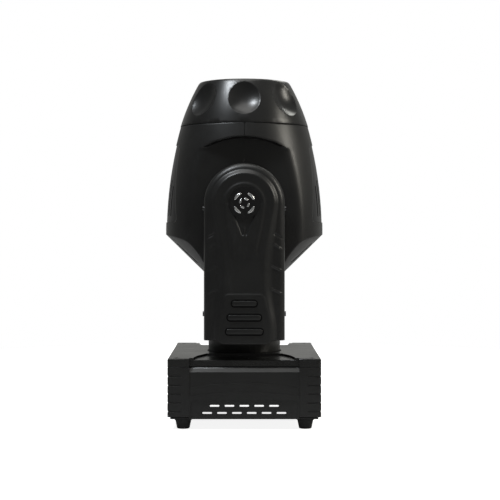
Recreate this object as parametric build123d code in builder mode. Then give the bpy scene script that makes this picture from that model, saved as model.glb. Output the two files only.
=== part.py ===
"""A moving head stage light: base, yoke that pans, head that tilts, and the optics inside the head.

Frame: millimetres, origin on the floor under the centre of the base, +Z up. The tilt axis runs along Y
and the control panel faces +X (front). Seen from the front, the -Y side is the left side.
"""

import os
from math import cos, pi, radians, sin

from build123d import *

os.makedirs("parts", exist_ok=True)

# Overall sizes
BASE_X, BASE_Y = 235, 300
HALF_X, HALF_Y = BASE_X / 2, BASE_Y / 2
FOOT_H = 16
BASE_TOP = 109
SKIRT_Z = 96
YOKE_Z = 134
TILT_Z = 346
HEAD_TOP = 545.5
WALL = 2.5
RUN_GAP = 0.05
SPLIT_GAP = 0.4

# Base shell
FOOT_X, FOOT_Y = 94, 128
CLAMP_X, CLAMP_Y, CLAMP_HOLE_R = 176, 140, 5.2
GUARD_X, GUARD_Y, GUARD_BOTTOM = 33.5, 38, 19.5
GROOVE_TOP, GROOVE_STEP, GROOVE_COUNT = 81.6, 13.4, 5
VENT_HALF, VENT_FACE = 84, 149.6
SLOT_PITCH, SLOT_LEN, SLOT_HIGH = 22.7, 14.6, 2.8
SLOT_ROWS = {36.6: 5, 25.8: 6}
LEDGE_Y = 139
TOP_RECESS = 3
COVER_SCREW_X, COVER_SCREW_Y = 104, 137

# Control and connector panels
PANEL_OUT, PANEL_IN = 116.5, 114
PANEL_HALF, PANEL_LOW, PANEL_HIGH = 111.5, 19, 95.5
WINDOW, WINDOW_AT = (72, 36), (-34, 58)
BUTTON_R = 5
BUTTONS = {"menu": (28, 68), "up": (52, 68), "down": (52, 46), "enter": (28, 46)}
INLET_AT = (-66, 50)
SOCKET_AT = {"in": (10, 52), "out": (60, 52)}

# Pan and tilt drives
SHAFT_R, TURRET_R = 22, 58.5
PAN_PULLEY_R, PAN_PINION_R, PAN_MOTOR_Y = 48, 8, -80
PAN_BELT_Z, PAN_BELT_WIDE = 48, 8
TILT_PULLEY_R, TILT_PINION_R, TILT_MOTOR_Z = 40, 8, 262
TILT_BELT_Y = (139, 145)
BELT_GAP, BELT_THICK = 0.3, 1.6
AXLE_R, AXLE_BORE, AXLE_FLANGE_R = 20, 14, 34

# Yoke
ARM_HALF = 62.2
ARM_IN, ARM_SPLIT, ARM_BAND, ARM_OUT = 112, 131, 144, 150
KEY_R, KEY_WAIST, KEY_FOOT = 47, 31.5, 43.5
BARS = {193: 39, 171.5: 52, 150: 57}
SCREW_Z = (176, 338)
PLATE_Z, BRIDGE_TOP = 139, 154
UPRIGHT_IN, UPRIGHT_OUT = 134, 137

# Head shell
SEAM_Z, CORNER_Z, REAR_Z = 474, 298.5, 222
SEAM_R, BELLY_R, REAR_R = 104, 128, 50
FLAT_Y = 92
SHELL = 3
DIMPLE_R, DIMPLE_DEPTH = 55, 10
DIMPLE_TURNS = (-48, 0, 48, 132, 180, 228)
LENS_Z = 520

# Optics
FAN_LOW, FAN_TOP, SINK_TOP = 238, 253, 285
LOW_DECK, HIGH_DECK = 316, 353
WHEEL_X, WHEEL_R, WHEEL_HOLE_R = 44, 52, 11.5
COLOUR_Z, GOBO_Z = 330, 345
ROD_X, FOCUS_MOTOR_Y, CARRIAGE_Z = 66, 58, 396

SIDES = {"left": -1, "right": 1}
ENDS = {"front": 1, "rear": -1}
UPWARD = (Align.CENTER, Align.CENTER, Align.MIN)
DOWNWARD = (Align.CENTER, Align.CENTER, Align.MAX)


def save(part, name):
    """Labels a finished piece and writes it as its own STEP file."""
    part.label = name
    export_step(part, f"parts/{name}.step")


def yz_plane(x):
    """A sketch plane across X: local x is Y, local y is Z, the normal is +X."""
    return Plane((x, 0, 0), x_dir=(0, 1, 0), z_dir=(1, 0, 0))


def xz_plane(y, side):
    """A sketch plane across Y that faces outward on the given side: local y is Z, local x is X or -X."""
    return Plane((0, y * side, 0), x_dir=(-side, 0, 0), z_dir=(0, side, 0))


# ---------------------------------------------------------------- base


def base_plate():
    """Steel floor of the base with air windows and the four bolt holes for the hanging clamps."""
    thick = 2
    middle_row, outer_row = (18, 74), (17, 62)
    with BuildPart() as plate:
        with BuildSketch(Plane.XY.offset(FOOT_H)):
            RectangleRounded(BASE_X - 8, BASE_Y - 9, 3)
            with GridLocations(24.4, 0, 5, 1):
                RectangleRounded(*middle_row, 4, mode=Mode.SUBTRACT)
            with GridLocations(23.4, 174, 6, 2):
                RectangleRounded(*outer_row, 4, mode=Mode.SUBTRACT)
            with GridLocations(CLAMP_X, CLAMP_Y, 2, 2):
                Circle(CLAMP_HOLE_R, mode=Mode.SUBTRACT)
        extrude(amount=thick)
    save(plate.part, "base_plate")


def rubber_feet():
    """Four tapered rubber feet, each with a recess for its screw."""
    top_r, low_r, collar_r = 12.3, 9.6, 13.2
    with BuildPart() as feet:
        with GridLocations(2 * FOOT_X, 2 * FOOT_Y, 2, 2) as places:
            spots = places.locations
        for spot in spots:
            x, y = spot.position.X, spot.position.Y
            with BuildSketch(Plane((x, y, 0), x_dir=(1, 0, 0), z_dir=(0, -1, 0))):
                with BuildLine():
                    Polyline(
                        (4, 0), (low_r, 0), (top_r, FOOT_H - 3), (collar_r, FOOT_H - 3),
                        (collar_r, FOOT_H), (0, FOOT_H), (0, 8), (4, 8), close=True,
                    )
                make_face()
            revolve(axis=Axis((x, y, 0), (0, 0, 1)))
        fillet(feet.edges().filter_by(GeomType.CIRCLE).group_by(Axis.Z)[0].sort_by(SortBy.RADIUS)[-4:], 1.5)
    save(feet.part, "rubber_feet")


def corner_guards():
    """Four L-shaped corner guards with horizontal grip grooves that wrap round the corner."""
    thick, groove_len, groove_deep, groove_high = 3, 21, 1.2, 1.8
    for end, sx in ENDS.items():
        for side, sy in SIDES.items():
            corner = Vector(sx * HALF_X, sy * HALF_Y)
            outline = [
                (0, 0), (GUARD_X, 0), (GUARD_X, thick), (thick, thick), (thick, GUARD_Y), (0, GUARD_Y),
            ]
            points = [(corner.X - sx * x, corner.Y - sy * y) for x, y in outline]
            with BuildPart() as guard:
                with BuildSketch(Plane.XY.offset(GUARD_BOTTOM)):
                    with BuildLine():
                        Polyline(*points, close=True)
                    make_face()
                extrude(amount=SKIRT_Z - 0.4 - GUARD_BOTTOM)
                posts = guard.edges().filter_by(Axis.Z)
                fillet(posts.sort_by_distance(Vector(corner.X, corner.Y, 60))[0], 2.5)
                for i in range(GROOVE_COUNT):
                    z = GROOVE_TOP - i * GROOVE_STEP
                    reach = groove_len / 2
                    with Locations((corner.X - sx * reach, corner.Y, z)):
                        Box(groove_len, 2 * groove_deep, groove_high, mode=Mode.SUBTRACT)
                    with Locations((corner.X, corner.Y - sy * reach, z)):
                        Box(2 * groove_deep, groove_len, groove_high, mode=Mode.SUBTRACT)
            save(guard.part, f"corner_guard_{end}_{side}")


def vent_panels():
    """Side panels: a sloped top edge, two arched steps, and a sunken lower field with two rows of slots."""
    inner, lip_in, top = 146, 138.5, 95.4
    slope_in, slope_drop, slope_r = 7.5, 9.5, 4.5
    step, field_top, field_half, field_deep = 1, 45.5, 82, 2.2
    arches = [(64, 72), (51.4, 58)]
    for side, s in SIDES.items():
        with BuildPart() as panel:
            with BuildSketch(yz_plane(-VENT_HALF)):
                with BuildLine():
                    FilletPolyline(
                        (s * VENT_FACE, FOOT_H + 0.6), (s * VENT_FACE, top - slope_drop),
                        (s * (VENT_FACE - slope_in), top), (s * lip_in, top),
                        radius=slope_r,
                    )
                    Polyline(
                        (s * lip_in, top), (s * lip_in, top - WALL), (s * (inner - slope_in + 1), top - WALL),
                        (s * inner, top - WALL - slope_drop + 1), (s * inner, FOOT_H + 0.6),
                        (s * VENT_FACE, FOOT_H + 0.6),
                    )
                make_face()
            extrude(amount=2 * VENT_HALF)
            for i, (low, high) in enumerate(arches):
                depth = step * (len(arches) - i)
                with BuildSketch(xz_plane(VENT_FACE - depth, s)):
                    with BuildLine():
                        ThreePointArc((-VENT_HALF, low), (0, high), (VENT_HALF, low))
                        Polyline((VENT_HALF, low), (VENT_HALF, 88), (-VENT_HALF, 88), (-VENT_HALF, low))
                    make_face()
                extrude(amount=depth, mode=Mode.SUBTRACT)
            with BuildSketch(xz_plane(VENT_FACE - field_deep, s)):
                with BuildLine():
                    FilletPolyline(
                        (-field_half, FOOT_H), (-field_half, field_top), (field_half, field_top),
                        (field_half, FOOT_H), radius=6,
                    )
                    Line((field_half, FOOT_H), (-field_half, FOOT_H))
                make_face()
            extrude(amount=field_deep, mode=Mode.SUBTRACT)
            with BuildSketch(xz_plane(VENT_FACE, s)):
                for z, count in SLOT_ROWS.items():
                    with Locations((0, z)):
                        with GridLocations(SLOT_PITCH, 0, count, 1):
                            SlotOverall(SLOT_LEN, SLOT_HIGH)
            extrude(amount=-10, mode=Mode.SUBTRACT)
        save(panel.part, f"{side}_vent_panel")


def top_cover():
    """Upper shell of the base: raised shoulders, a sunken bay on each side, and the hole for the turret."""
    ceiling, hole_r, edge_r = 103, TURRET_R + 2, 2.5
    floor = BASE_TOP - TOP_RECESS
    bay = [(78, LEDGE_Y + 12), (78, 128), (73, 98), (60, 62)]
    with BuildPart() as cover:
        with BuildSketch(Plane.XY.offset(SKIRT_Z)):
            RectangleRounded(BASE_X, BASE_Y, 3)
        extrude(amount=BASE_TOP - SKIRT_Z)
        fillet(cover.faces().sort_by(Axis.Z)[-1].edges(), edge_r)
        with BuildSketch(Plane.XY.offset(SKIRT_Z)):
            RectangleRounded(BASE_X - 2 * WALL, 2 * (LEDGE_Y - WALL), 2)
        extrude(amount=ceiling - SKIRT_Z, mode=Mode.SUBTRACT)
        for s in SIDES.values():
            with BuildSketch(Plane.XY.offset(SKIRT_Z)):
                with Locations((0, s * (LEDGE_Y + 10))):
                    Rectangle(2 * VENT_HALF, 20)
            extrude(amount=20, mode=Mode.SUBTRACT)
            with BuildSketch(Plane.XY.offset(floor)):
                with BuildLine():
                    right = [(x, s * y) for x, y in bay]
                    left = [(-x, y) for x, y in reversed(right)]
                    Polyline(*right, *left, close=True)
                make_face()
            extrude(amount=10, mode=Mode.SUBTRACT)
        with Locations((0, 0, BASE_TOP)):
            Hole(hole_r, 20)
        with Locations((0, 0, BASE_TOP)):
            with GridLocations(2 * COVER_SCREW_X, 2 * COVER_SCREW_Y, 2, 2):
                Hole(4.4, 2.2)
        bay_edges = cover.edges().filter_by_position(Axis.Z, floor - 0.01, floor + 0.01)
        long_edges = bay_edges.filter_by(Axis.X).group_by(Axis.Y)
        fillet(long_edges[0] + long_edges[-1], 1.5)
    save(cover.part, "base_top_cover")
    with BuildPart() as screws:
        with Locations((0, 0, BASE_TOP - 1.2)):
            with GridLocations(2 * COVER_SCREW_X, 2 * COVER_SCREW_Y, 2, 2):
                Cylinder(4.1, 1.9)
                Cylinder(2, 1.2, align=UPWARD, mode=Mode.SUBTRACT)
    save(screws.part, "cover_screws")


def control_panel():
    """Front panel with the display window and four push buttons."""
    with BuildPart() as panel:
        with BuildSketch(yz_plane(PANEL_IN)):
            with Locations((0, (PANEL_LOW + PANEL_HIGH) / 2)):
                Rectangle(2 * PANEL_HALF, PANEL_HIGH - PANEL_LOW)
            with Locations(WINDOW_AT):
                RectangleRounded(*WINDOW, 3, mode=Mode.SUBTRACT)
            with Locations(*BUTTONS.values()):
                Circle(BUTTON_R + 0.35, mode=Mode.SUBTRACT)
        extrude(amount=PANEL_OUT - PANEL_IN)
        with BuildSketch(yz_plane(PANEL_OUT)):
            with Locations(WINDOW_AT):
                RectangleRounded(WINDOW[0] + 10, WINDOW[1] + 10, 5)
                RectangleRounded(*WINDOW, 3, mode=Mode.SUBTRACT)
        extrude(amount=0.8)
    save(panel.part, "control_panel")
    with BuildPart() as window:
        with BuildSketch(yz_plane(PANEL_IN)):
            with Locations(WINDOW_AT):
                RectangleRounded(WINDOW[0] - 0.3, WINDOW[1] - 0.3, 2.8)
        extrude(amount=2.2)
    save(window.part, "display_window")
    for name, (y, z) in BUTTONS.items():
        with BuildPart() as button:
            with BuildSketch(yz_plane(PANEL_IN - 2)):
                with Locations((y, z)):
                    Circle(BUTTON_R)
            extrude(amount=PANEL_OUT - PANEL_IN + 2 + 2.2)
            fillet(button.faces().sort_by(Axis.X)[-1].edges(), 0.8)
            with BuildSketch(yz_plane(PANEL_IN - 1.8)):
                with Locations((y, z)):
                    Circle(BUTTON_R + 1.6)
            extrude(amount=1.6)
        save(button.part, f"{name}_button")


def connector_panel():
    """Rear panel with the cut-outs for the mains inlet and the two signal sockets."""
    with BuildPart() as panel:
        with BuildSketch(yz_plane(-PANEL_OUT)):
            with Locations((0, (PANEL_LOW + PANEL_HIGH) / 2)):
                Rectangle(2 * PANEL_HALF, PANEL_HIGH - PANEL_LOW)
            with Locations(INLET_AT):
                Rectangle(28, 20, mode=Mode.SUBTRACT)
            with Locations(*SOCKET_AT.values()):
                Circle(12, mode=Mode.SUBTRACT)
        extrude(amount=PANEL_OUT - PANEL_IN)
    save(panel.part, "connector_panel")


def power_inlet():
    """Mains inlet: flanged body with a hooded cavity and three flat blades."""
    face = -PANEL_OUT
    with BuildPart() as inlet:
        with BuildSketch(yz_plane(face - 2)):
            with Locations(INLET_AT):
                RectangleRounded(40, 26, 3)
        extrude(amount=2)
        with BuildSketch(yz_plane(face)):
            with Locations(INLET_AT):
                Rectangle(27.6, 19.6)
        extrude(amount=22)
        with BuildSketch(yz_plane(face - 2)):
            with Locations(INLET_AT):
                RectangleRounded(23.6, 15.6, 2)
        extrude(amount=17, mode=Mode.SUBTRACT)
        with BuildSketch(yz_plane(face + 15)):
            with Locations(INLET_AT):
                with Locations((-7, -2), (7, -2), (0, 2)):
                    Rectangle(2, 4)
        extrude(amount=-9)
    save(inlet.part, "power_inlet")


def signal_sockets():
    """Two round signal sockets: one with three pins in a cup, one with three holes in a plug face."""
    face = -PANEL_OUT
    pins = [(4.2 * cos(a), 4.2 * sin(a)) for a in (-pi / 2, pi / 6, 5 * pi / 6)]
    for name, at in SOCKET_AT.items():
        with BuildPart() as socket:
            with BuildSketch(yz_plane(face - 2)):
                with Locations(at):
                    RectangleRounded(26, 31, 3)
            extrude(amount=2)
            with BuildSketch(yz_plane(face)):
                with Locations(at):
                    Circle(11.8)
            extrude(amount=20)
            with BuildSketch(yz_plane(face - 2)):
                with Locations(at):
                    Circle(9.6)
            extrude(amount=17, mode=Mode.SUBTRACT)
            if name == "in":
                with BuildSketch(yz_plane(face + 15)):
                    with Locations(at):
                        with Locations(*pins):
                            Circle(1.2)
                extrude(amount=-11)
            else:
                with BuildSketch(yz_plane(face + 15)):
                    with Locations(at):
                        Circle(7.4)
                        with Locations(*pins):
                            Circle(1.3, mode=Mode.SUBTRACT)
                extrude(amount=-15)
        save(socket.part, f"dmx_{name}_socket")


def base_electronics():
    """The main board behind the control panel and the power supply at the right."""
    with BuildPart() as board:
        with Locations((104, 0, 56)):
            Box(1.6, 132, 64)
        with Locations((106.4, WINDOW_AT[0], WINDOW_AT[1])):
            Box(3.2, 68, 32)
        with Locations(*[(107, y, z) for y, z in BUTTONS.values()]):
            Box(4.4, 6, 6)
        with Locations(*[(101.2, y, 34) for y in (-50, -20, 12, 44)]):
            Box(4, 18, 8)
    save(board.part, "main_board")
    with BuildPart() as supply:
        with Locations((0, 98, 41)):
            Box(140, 68, 42)
            Box(136, 64, 38, mode=Mode.SUBTRACT)
        with Locations((0, 98, 28)):
            Box(136, 64, 12)
        with BuildSketch(Plane.XY.offset(61)):
            with Locations((0, 98)):
                with GridLocations(12, 12, 10, 5):
                    Circle(3.4)
        extrude(amount=2, mode=Mode.SUBTRACT)
    save(supply.part, "power_supply")


def base_chassis():
    """Steel saddle that carries the pan bearing and the pan motor above the floor of the base."""
    leg_out, high, thick = 80, 95, 3
    with BuildPart() as chassis:
        with Locations((0, 0, high - thick / 2)):
            Box(2 * leg_out, 250, thick)
        for s in ENDS.values():
            with Locations((s * (leg_out - thick / 2), 0, (high + FOOT_H + 2) / 2)):
                Box(thick, 110, high - FOOT_H - 2)
        with Locations((0, 0, high)):
            Hole(34, 10)
        with Locations((0, PAN_MOTOR_Y, high)):
            Hole(12, 10)
    save(chassis.part, "base_chassis")
    with BuildPart() as bearing:
        with Locations((0, 0, 92)):
            Cylinder(34, 12)
        with Locations((0, 0, 95)):
            Cylinder(42, 4, align=UPWARD)
        with Locations((0, 0, 99)):
            Hole(SHAFT_R + RUN_GAP, 30)
    save(bearing.part, "pan_bearing")


def pan_drive():
    """Pan motor, its toothed pulley and the belt to the large pulley."""
    low, wide = PAN_BELT_Z, PAN_BELT_WIDE
    with BuildPart() as motor:
        with Locations((0, PAN_MOTOR_Y, 75.5)):
            Box(56, 56, 33)
        chamfer(motor.edges().filter_by(Axis.Z), 4)
        with Locations((0, PAN_MOTOR_Y, 92)):
            Cylinder(11.5, 3, align=UPWARD)
        with Locations((0, PAN_MOTOR_Y, 59)):
            Cylinder(3 + RUN_GAP, 22, mode=Mode.SUBTRACT)
    save(motor.part, "pan_motor")
    with BuildPart() as pinion:
        with Locations((0, PAN_MOTOR_Y, low)):
            Cylinder(PAN_PINION_R, wide, align=UPWARD)
            Cylinder(3, 20, align=UPWARD)
        with Locations((0, PAN_MOTOR_Y, low)):
            with PolarLocations(PAN_PINION_R, 20):
                Cylinder(0.6, wide, align=UPWARD, mode=Mode.SUBTRACT)
    save(pinion.part, "pan_motor_pulley")
    with BuildPart() as belt:
        with BuildSketch(Plane.XY.offset(low + 1)):
            pulleys = ((0, 0), PAN_PULLEY_R, (0, PAN_MOTOR_Y), PAN_PINION_R)
            add(belt_outline(*pulleys, BELT_GAP + BELT_THICK))
            add(belt_outline(*pulleys, BELT_GAP), mode=Mode.SUBTRACT)
        extrude(amount=wide - 2)
    save(belt.part, "pan_belt")


def belt_outline(big_at, big_r, small_at, small_r, grow):
    """The tight outline round two pulleys, larger by grow."""
    with BuildSketch(Plane.XY, mode=Mode.PRIVATE) as band:
        with Locations(big_at):
            Circle(big_r + grow)
        with Locations(small_at):
            Circle(small_r + grow)
        make_hull(band.edges())
    return band.sketch_local


# ---------------------------------------------------------------- yoke


def pan_shaft():
    """Hollow pan shaft with its flange and pulley, and the round turret between base and yoke."""
    with BuildPart() as shaft:
        with Locations((0, 0, PAN_BELT_Z - 2)):
            Cylinder(SHAFT_R, PLATE_Z - PAN_BELT_Z + 2, align=UPWARD)
        with Locations((0, 0, PAN_BELT_Z)):
            Cylinder(PAN_PULLEY_R, PAN_BELT_WIDE, align=UPWARD)
            Cylinder(SHAFT_R + 6, PAN_BELT_WIDE + 5, align=UPWARD)
            with PolarLocations(38, 6):
                Cylinder(6, PAN_BELT_WIDE, align=UPWARD, mode=Mode.SUBTRACT)
        with Locations((0, 0, YOKE_Z)):
            Cylinder(40, PLATE_Z - YOKE_Z, align=UPWARD)
        with Locations((0, 0, PLATE_Z)):
            Hole(SHAFT_R - 5, 120)
    save(shaft.part, "pan_shaft")
    low = 105
    with BuildPart() as turret:
        with Locations((0, 0, low)):
            Cylinder(TURRET_R, YOKE_Z - low, align=UPWARD)
            Cylinder(
                TURRET_R - SHELL, YOKE_Z - low - SHELL,
                align=UPWARD, mode=Mode.SUBTRACT,
            )
        with Locations((0, 0, YOKE_Z)):
            Hole(SHAFT_R, 60)
        groove = turret.faces().filter_by(GeomType.CYLINDER).sort_by(SortBy.AREA)[-1]
        fillet(groove.edges().sort_by(Axis.Z)[-1], 1.5)
    save(turret.part, "pan_turret")


def yoke_frame():
    """Flat steel bridge plate and the two upright plates that carry the tilt bearings."""
    with BuildPart() as bridge:
        with Locations((0, 0, PLATE_Z)):
            Box(100, 2 * UPRIGHT_OUT, 3, align=UPWARD)
        with Locations((0, 0, PLATE_Z + 3)):
            Hole(SHAFT_R - 5, 10)
    save(bridge.part, "bridge_plate")
    for side, s in SIDES.items():
        with BuildPart() as upright:
            with BuildSketch(xz_plane(UPRIGHT_IN, s)):
                with BuildLine():
                    Line((-44, PLATE_Z + 3), (44, PLATE_Z + 3))
                    Line((44, PLATE_Z + 3), (44, TILT_Z))
                    RadiusArc((44, TILT_Z), (-44, TILT_Z), -44)
                    Line((-44, TILT_Z), (-44, PLATE_Z + 3))
                make_face()
                with Locations((0, TILT_Z)):
                    Circle(28, mode=Mode.SUBTRACT)
                with Locations((0, TILT_MOTOR_Z)):
                    Circle(11, mode=Mode.SUBTRACT)
                with Locations((0, 195)):
                    SlotOverall(60, 24, mode=Mode.SUBTRACT)
            extrude(amount=UPRIGHT_OUT - UPRIGHT_IN)
        save(upright.part, f"{side}_upright")


def ring(y, side, outer, inner=0, z=TILT_Z):
    """A disc or ring across Y, ready to be extruded outward."""
    with BuildSketch(xz_plane(y, side), mode=Mode.PRIVATE) as face:
        with Locations((0, z)):
            Circle(outer)
            if inner:
                Circle(inner, mode=Mode.SUBTRACT)
    return face.sketch


def tilt_drive():
    """Tilt bearings in both arms, and in the right arm the tilt motor, its small pulley and the belt."""
    with BuildPart() as bearings:
        for s in SIDES.values():
            extrude(ring(126, s, 28, AXLE_R + RUN_GAP), amount=UPRIGHT_OUT - 126)
            extrude(ring(130, s, 33, AXLE_R + RUN_GAP), amount=UPRIGHT_IN - 130)
    save(bearings.part, "tilt_bearings")
    with BuildPart() as motor:
        with BuildSketch(xz_plane(115.5, 1)):
            with Locations((0, TILT_MOTOR_Z)):
                Rectangle(42, 42)
        extrude(amount=UPRIGHT_IN - 115.5)
        chamfer(motor.edges().filter_by(Axis.Y), 3)
        extrude(ring(UPRIGHT_IN, 1, 10.9, z=TILT_MOTOR_Z), amount=UPRIGHT_OUT - UPRIGHT_IN)
        with BuildSketch(xz_plane(120, 1)):
            with Locations((0, TILT_MOTOR_Z)):
                Circle(2.5 + RUN_GAP)
        extrude(amount=30, mode=Mode.SUBTRACT)
    save(motor.part, "tilt_motor")
    low, high = TILT_BELT_Y
    with BuildPart() as pinion:
        extrude(ring(low, 1, TILT_PINION_R, z=TILT_MOTOR_Z), amount=high - low)
        extrude(ring(121, 1, 2.5, z=TILT_MOTOR_Z), amount=high - 121)
    save(pinion.part, "tilt_motor_pulley")
    with BuildPart() as belt:
        with BuildSketch(xz_plane(low + 1, 1)):
            pulleys = ((0, TILT_Z), TILT_PULLEY_R, (0, TILT_MOTOR_Z), TILT_PINION_R)
            add(belt_outline(*pulleys, BELT_GAP + BELT_THICK))
            add(belt_outline(*pulleys, BELT_GAP), mode=Mode.SUBTRACT)
        extrude(amount=high - low - 2)
    save(belt.part, "tilt_belt")


def arm_outline(half, low):
    """The outline of an arm: straight sides under a full-round top."""
    with BuildSketch(Plane.XY, mode=Mode.PRIVATE) as outline:
        with BuildLine():
            Line((-half, low), (half, low))
            Line((half, low), (half, TILT_Z))
            RadiusArc((half, TILT_Z), (-half, TILT_Z), -half)
            Line((-half, TILT_Z), (-half, low))
        make_face()
    return outline.sketch_local


def key_outline(inset):
    """The raised keyhole panel of an arm: round top, waist and flared foot."""
    r, waist, foot = KEY_R - inset, KEY_WAIST - inset, KEY_FOOT - inset
    low = YOKE_Z - 2 + inset
    side = [(r, TILT_Z - 6), (waist, 262), (waist, 214), (foot, 160), (foot, low)]
    with BuildSketch(Plane.XY, mode=Mode.PRIVATE) as outline:
        with BuildLine():
            Polyline(*side)
            Line((foot, low), (-foot, low))
            Polyline(*[(-x, z) for x, z in side])
            ThreePointArc(side[0], (0, TILT_Z + r), (-r, TILT_Z - 6))
        make_face()
    return outline.sketch_local


def arm_covers():
    """Outer covers and inner liners of both arms, with the raised keyhole panel and its three bars."""
    low = YOKE_Z + 2
    edge = 8
    for side, s in SIDES.items():
        with BuildPart() as cover:
            with BuildSketch(xz_plane(ARM_SPLIT, s)):
                add(arm_outline(ARM_HALF, low))
            extrude(amount=ARM_BAND - ARM_SPLIT)
            outer_face = cover.faces().sort_by(Axis.Y)[-1 if s > 0 else 0]
            rim = outer_face.edges().filter_by(lambda e: e.center().Z > low + 1)
            fillet(rim, edge)
            with BuildSketch(xz_plane(ARM_SPLIT, s)):
                add(key_outline(0))
            extrude(amount=ARM_OUT - ARM_SPLIT)
            panel_face = cover.faces().sort_by(Axis.Y)[-1 if s > 0 else 0]
            fillet(panel_face.edges(), 2)
            with BuildSketch(xz_plane(ARM_OUT, s)):
                for z, long in BARS.items():
                    with Locations((0, z)):
                        SlotOverall(long, 9.5)
            extrude(amount=1)
            with BuildSketch(xz_plane(ARM_SPLIT, s)):
                add(arm_outline(ARM_HALF - WALL, low + WALL))
            extrude(amount=ARM_BAND - WALL - ARM_SPLIT - edge / 2, mode=Mode.SUBTRACT)
            with BuildSketch(xz_plane(ARM_SPLIT, s)):
                add(arm_outline(ARM_HALF - WALL - edge / 2, low + WALL))
            extrude(amount=ARM_BAND - WALL - ARM_SPLIT, mode=Mode.SUBTRACT)
            with BuildSketch(xz_plane(ARM_SPLIT, s)):
                add(key_outline(3))
            extrude(amount=ARM_OUT - WALL - ARM_SPLIT, mode=Mode.SUBTRACT)
        save(cover.part, f"{side}_arm_cover")
        with BuildPart() as liner:
            with BuildSketch(xz_plane(ARM_IN, s)):
                add(arm_outline(ARM_HALF, low))
            extrude(amount=ARM_SPLIT - SPLIT_GAP - ARM_IN)
            inner_face = liner.faces().sort_by(Axis.Y)[0 if s > 0 else -1]
            fillet(inner_face.edges().filter_by(lambda e: e.center().Z > low + 1), 3)
            with BuildSketch(xz_plane(ARM_IN + WALL, s)):
                add(arm_outline(ARM_HALF - WALL, low + WALL))
            extrude(amount=ARM_SPLIT - ARM_IN, mode=Mode.SUBTRACT)
            with BuildSketch(xz_plane(ARM_IN - 1, s)):
                with Locations((0, TILT_Z)):
                    Circle(30)
            extrude(amount=6, mode=Mode.SUBTRACT)
            with BuildSketch(xz_plane(ARM_IN - 1, s)):
                with Locations((0, PLATE_Z + 1.5)):
                    Rectangle(101, 4)
            extrude(amount=UPRIGHT_OUT - ARM_IN + 2, mode=Mode.SUBTRACT)
        save(liner.part, f"{side}_arm_liner")
    with BuildPart() as screws:
        for s in SIDES.values():
            for x in ENDS.values():
                for z in SCREW_Z:
                    with Locations(Location((x * ARM_HALF, s * 124, z), (0, x * 90, 0))):
                        Cylinder(3.8, 2, align=UPWARD)
                        Cylinder(1.6, 1.2, align=UPWARD, mode=Mode.SUBTRACT)
    save(screws.part, "arm_screws")


def badges():
    """Domed drop-shaped badge on each arm, over the tilt axis."""
    r, tip_z, tip_half = 24.4, TILT_Z - 48, 5
    with BuildPart() as badge:
        for s in SIDES.values():
            with BuildSketch(xz_plane(ARM_OUT, s)):
                with BuildLine():
                    ThreePointArc((r * cos(0.35), TILT_Z - r * sin(0.35)), (0, TILT_Z + r),
                                  (-r * cos(0.35), TILT_Z - r * sin(0.35)))
                    Polyline((-r * cos(0.35), TILT_Z - r * sin(0.35)), (-tip_half, tip_z),
                             (tip_half, tip_z), (r * cos(0.35), TILT_Z - r * sin(0.35)))
                make_face()
            extrude(amount=3)
        for s in SIDES.values():
            top = badge.faces().sort_by(Axis.Y)[-1 if s > 0 else 0]
            fillet(top.edges(), 2)
    save(badge.part, "arm_badges")


def bridge_cover():
    """Moulded cover over the bridge plate between the two arms."""
    half_x, half_y = 58, ARM_IN - 0.3
    with BuildPart() as cover:
        with Locations((0, 0, YOKE_Z + 1)):
            Box(2 * half_x, 2 * half_y, BRIDGE_TOP - YOKE_Z - 1, align=UPWARD)
        top_edges = cover.faces().sort_by(Axis.Z)[-1].edges().filter_by(Axis.Y)
        fillet(top_edges, 8)
        with Locations((0, 0, YOKE_Z + 1)):
            Box(2 * (half_x - 3), 2 * half_y, BRIDGE_TOP - YOKE_Z - 8,
                align=UPWARD, mode=Mode.SUBTRACT)
    save(cover.part, "bridge_cover")


# ---------------------------------------------------------------- head


def shell_profile(inset):
    """Half-section of the head inside its shells: a long belly over an upright wall, moved in by inset."""
    belly, top = BELLY_R - inset, SEAM_Z - 0.6
    with BuildSketch(Plane.XY, mode=Mode.PRIVATE) as outline:
        with BuildLine():
            ThreePointArc((SEAM_R - inset, top), (121.6 - inset, 390), (belly, 306))
            Polyline((belly, 306), (belly, REAR_Z), (0, REAR_Z), (0, top), (SEAM_R - inset, top))
        make_face()
    return outline.sketch_local


def cone_profile(inset):
    """Half-section of the conical rear, moved in by inset."""
    rise = CORNER_Z - REAR_Z
    slope = (BELLY_R - REAR_R) / rise
    with BuildSketch(Plane.XY, mode=Mode.PRIVATE) as outline:
        with BuildLine():
            Polyline(
                (0, REAR_Z + inset), (REAR_R - inset / 2, REAR_Z + inset),
                (REAR_R - inset / 2 + slope * (rise + 2), CORNER_Z + 2 + inset), (0, CORNER_Z + 2 + inset),
                close=True,
            )
        make_face()
    return outline.sketch_local


def arm_bay(grow):
    """The outline of the flat bay beside each arm, under an arch that is higher by grow."""
    half, spring, top = 100, 410, 451 + grow
    with BuildSketch(Plane.XY, mode=Mode.PRIVATE) as outline:
        with BuildLine():
            ThreePointArc((-half, spring), (0, top), (half, spring))
            Polyline((half, spring), (half, 200), (-half, 200), (-half, spring))
        make_face()
    return outline.sketch_local


def below_cheeks(drop):
    """The region under the lower edge of the shells, lowered by drop."""
    edge = [(129, 298.5), (90, 286.6), (71, 266), (56, 243), (0, 232)]
    right = [(x, z - drop) for x, z in edge]
    left = [(-x, z) for x, z in right]
    with BuildSketch(Plane.XY, mode=Mode.PRIVATE) as outline:
        with BuildLine():
            Spline(*right, tangents=[(-1, -0.2), (-1, 0)])
            Spline(*reversed(left), tangents=[(-1, 0), (-1, 0.2)])
            Polyline(left[0], (-140, 298.5 - drop), (-140, 200), (140, 200), (140, 298.5 - drop), right[0])
        make_face()
    return outline.sketch_local


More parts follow.
